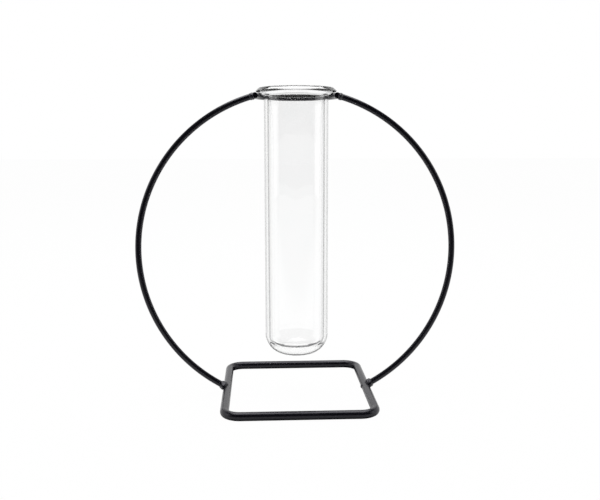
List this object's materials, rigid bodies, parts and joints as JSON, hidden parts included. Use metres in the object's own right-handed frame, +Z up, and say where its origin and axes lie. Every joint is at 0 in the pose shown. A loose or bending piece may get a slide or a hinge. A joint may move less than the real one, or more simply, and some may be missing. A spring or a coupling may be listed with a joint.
{
  "type": "test tube vase",
  "caption": "Clear glass test tube with a thick flared lip, hung in a half loop at the top of a round black wire hoop on a rectangular wire base.",
  "frame": {"origin": "on the surface the vase stands on, under the middle of the rectangular base loop", "axes": "+Z up along the tube, +X to the right across the hoop, -Y towards the viewer; the half loop opens towards -Y"},
  "size_m": [0.1726, 0.0944, 0.1651],
  "materials": {
    "black_coat": "satin",
    "clear_glass": "gloss"
  },
  "bodies": {
    "stand": {"base_loop": "black_coat", "holder_loop": "black_coat", "left_hoop_arm": "black_coat", "right_hoop_arm": "black_coat", "left_loop_weld": "black_coat", "right_loop_weld": "black_coat", "left_foot_weld": "black_coat", "right_foot_weld": "black_coat", "base_seam_weld": "black_coat"},
    "tube": {"glass_tube": "clear_glass"}
  },
  "joints": [
    {"name": "tube_lift", "type": "slide", "parent": "stand", "child": "tube", "axis": [0, 0, 1], "range_m": [0, 0.145]}
  ]
}
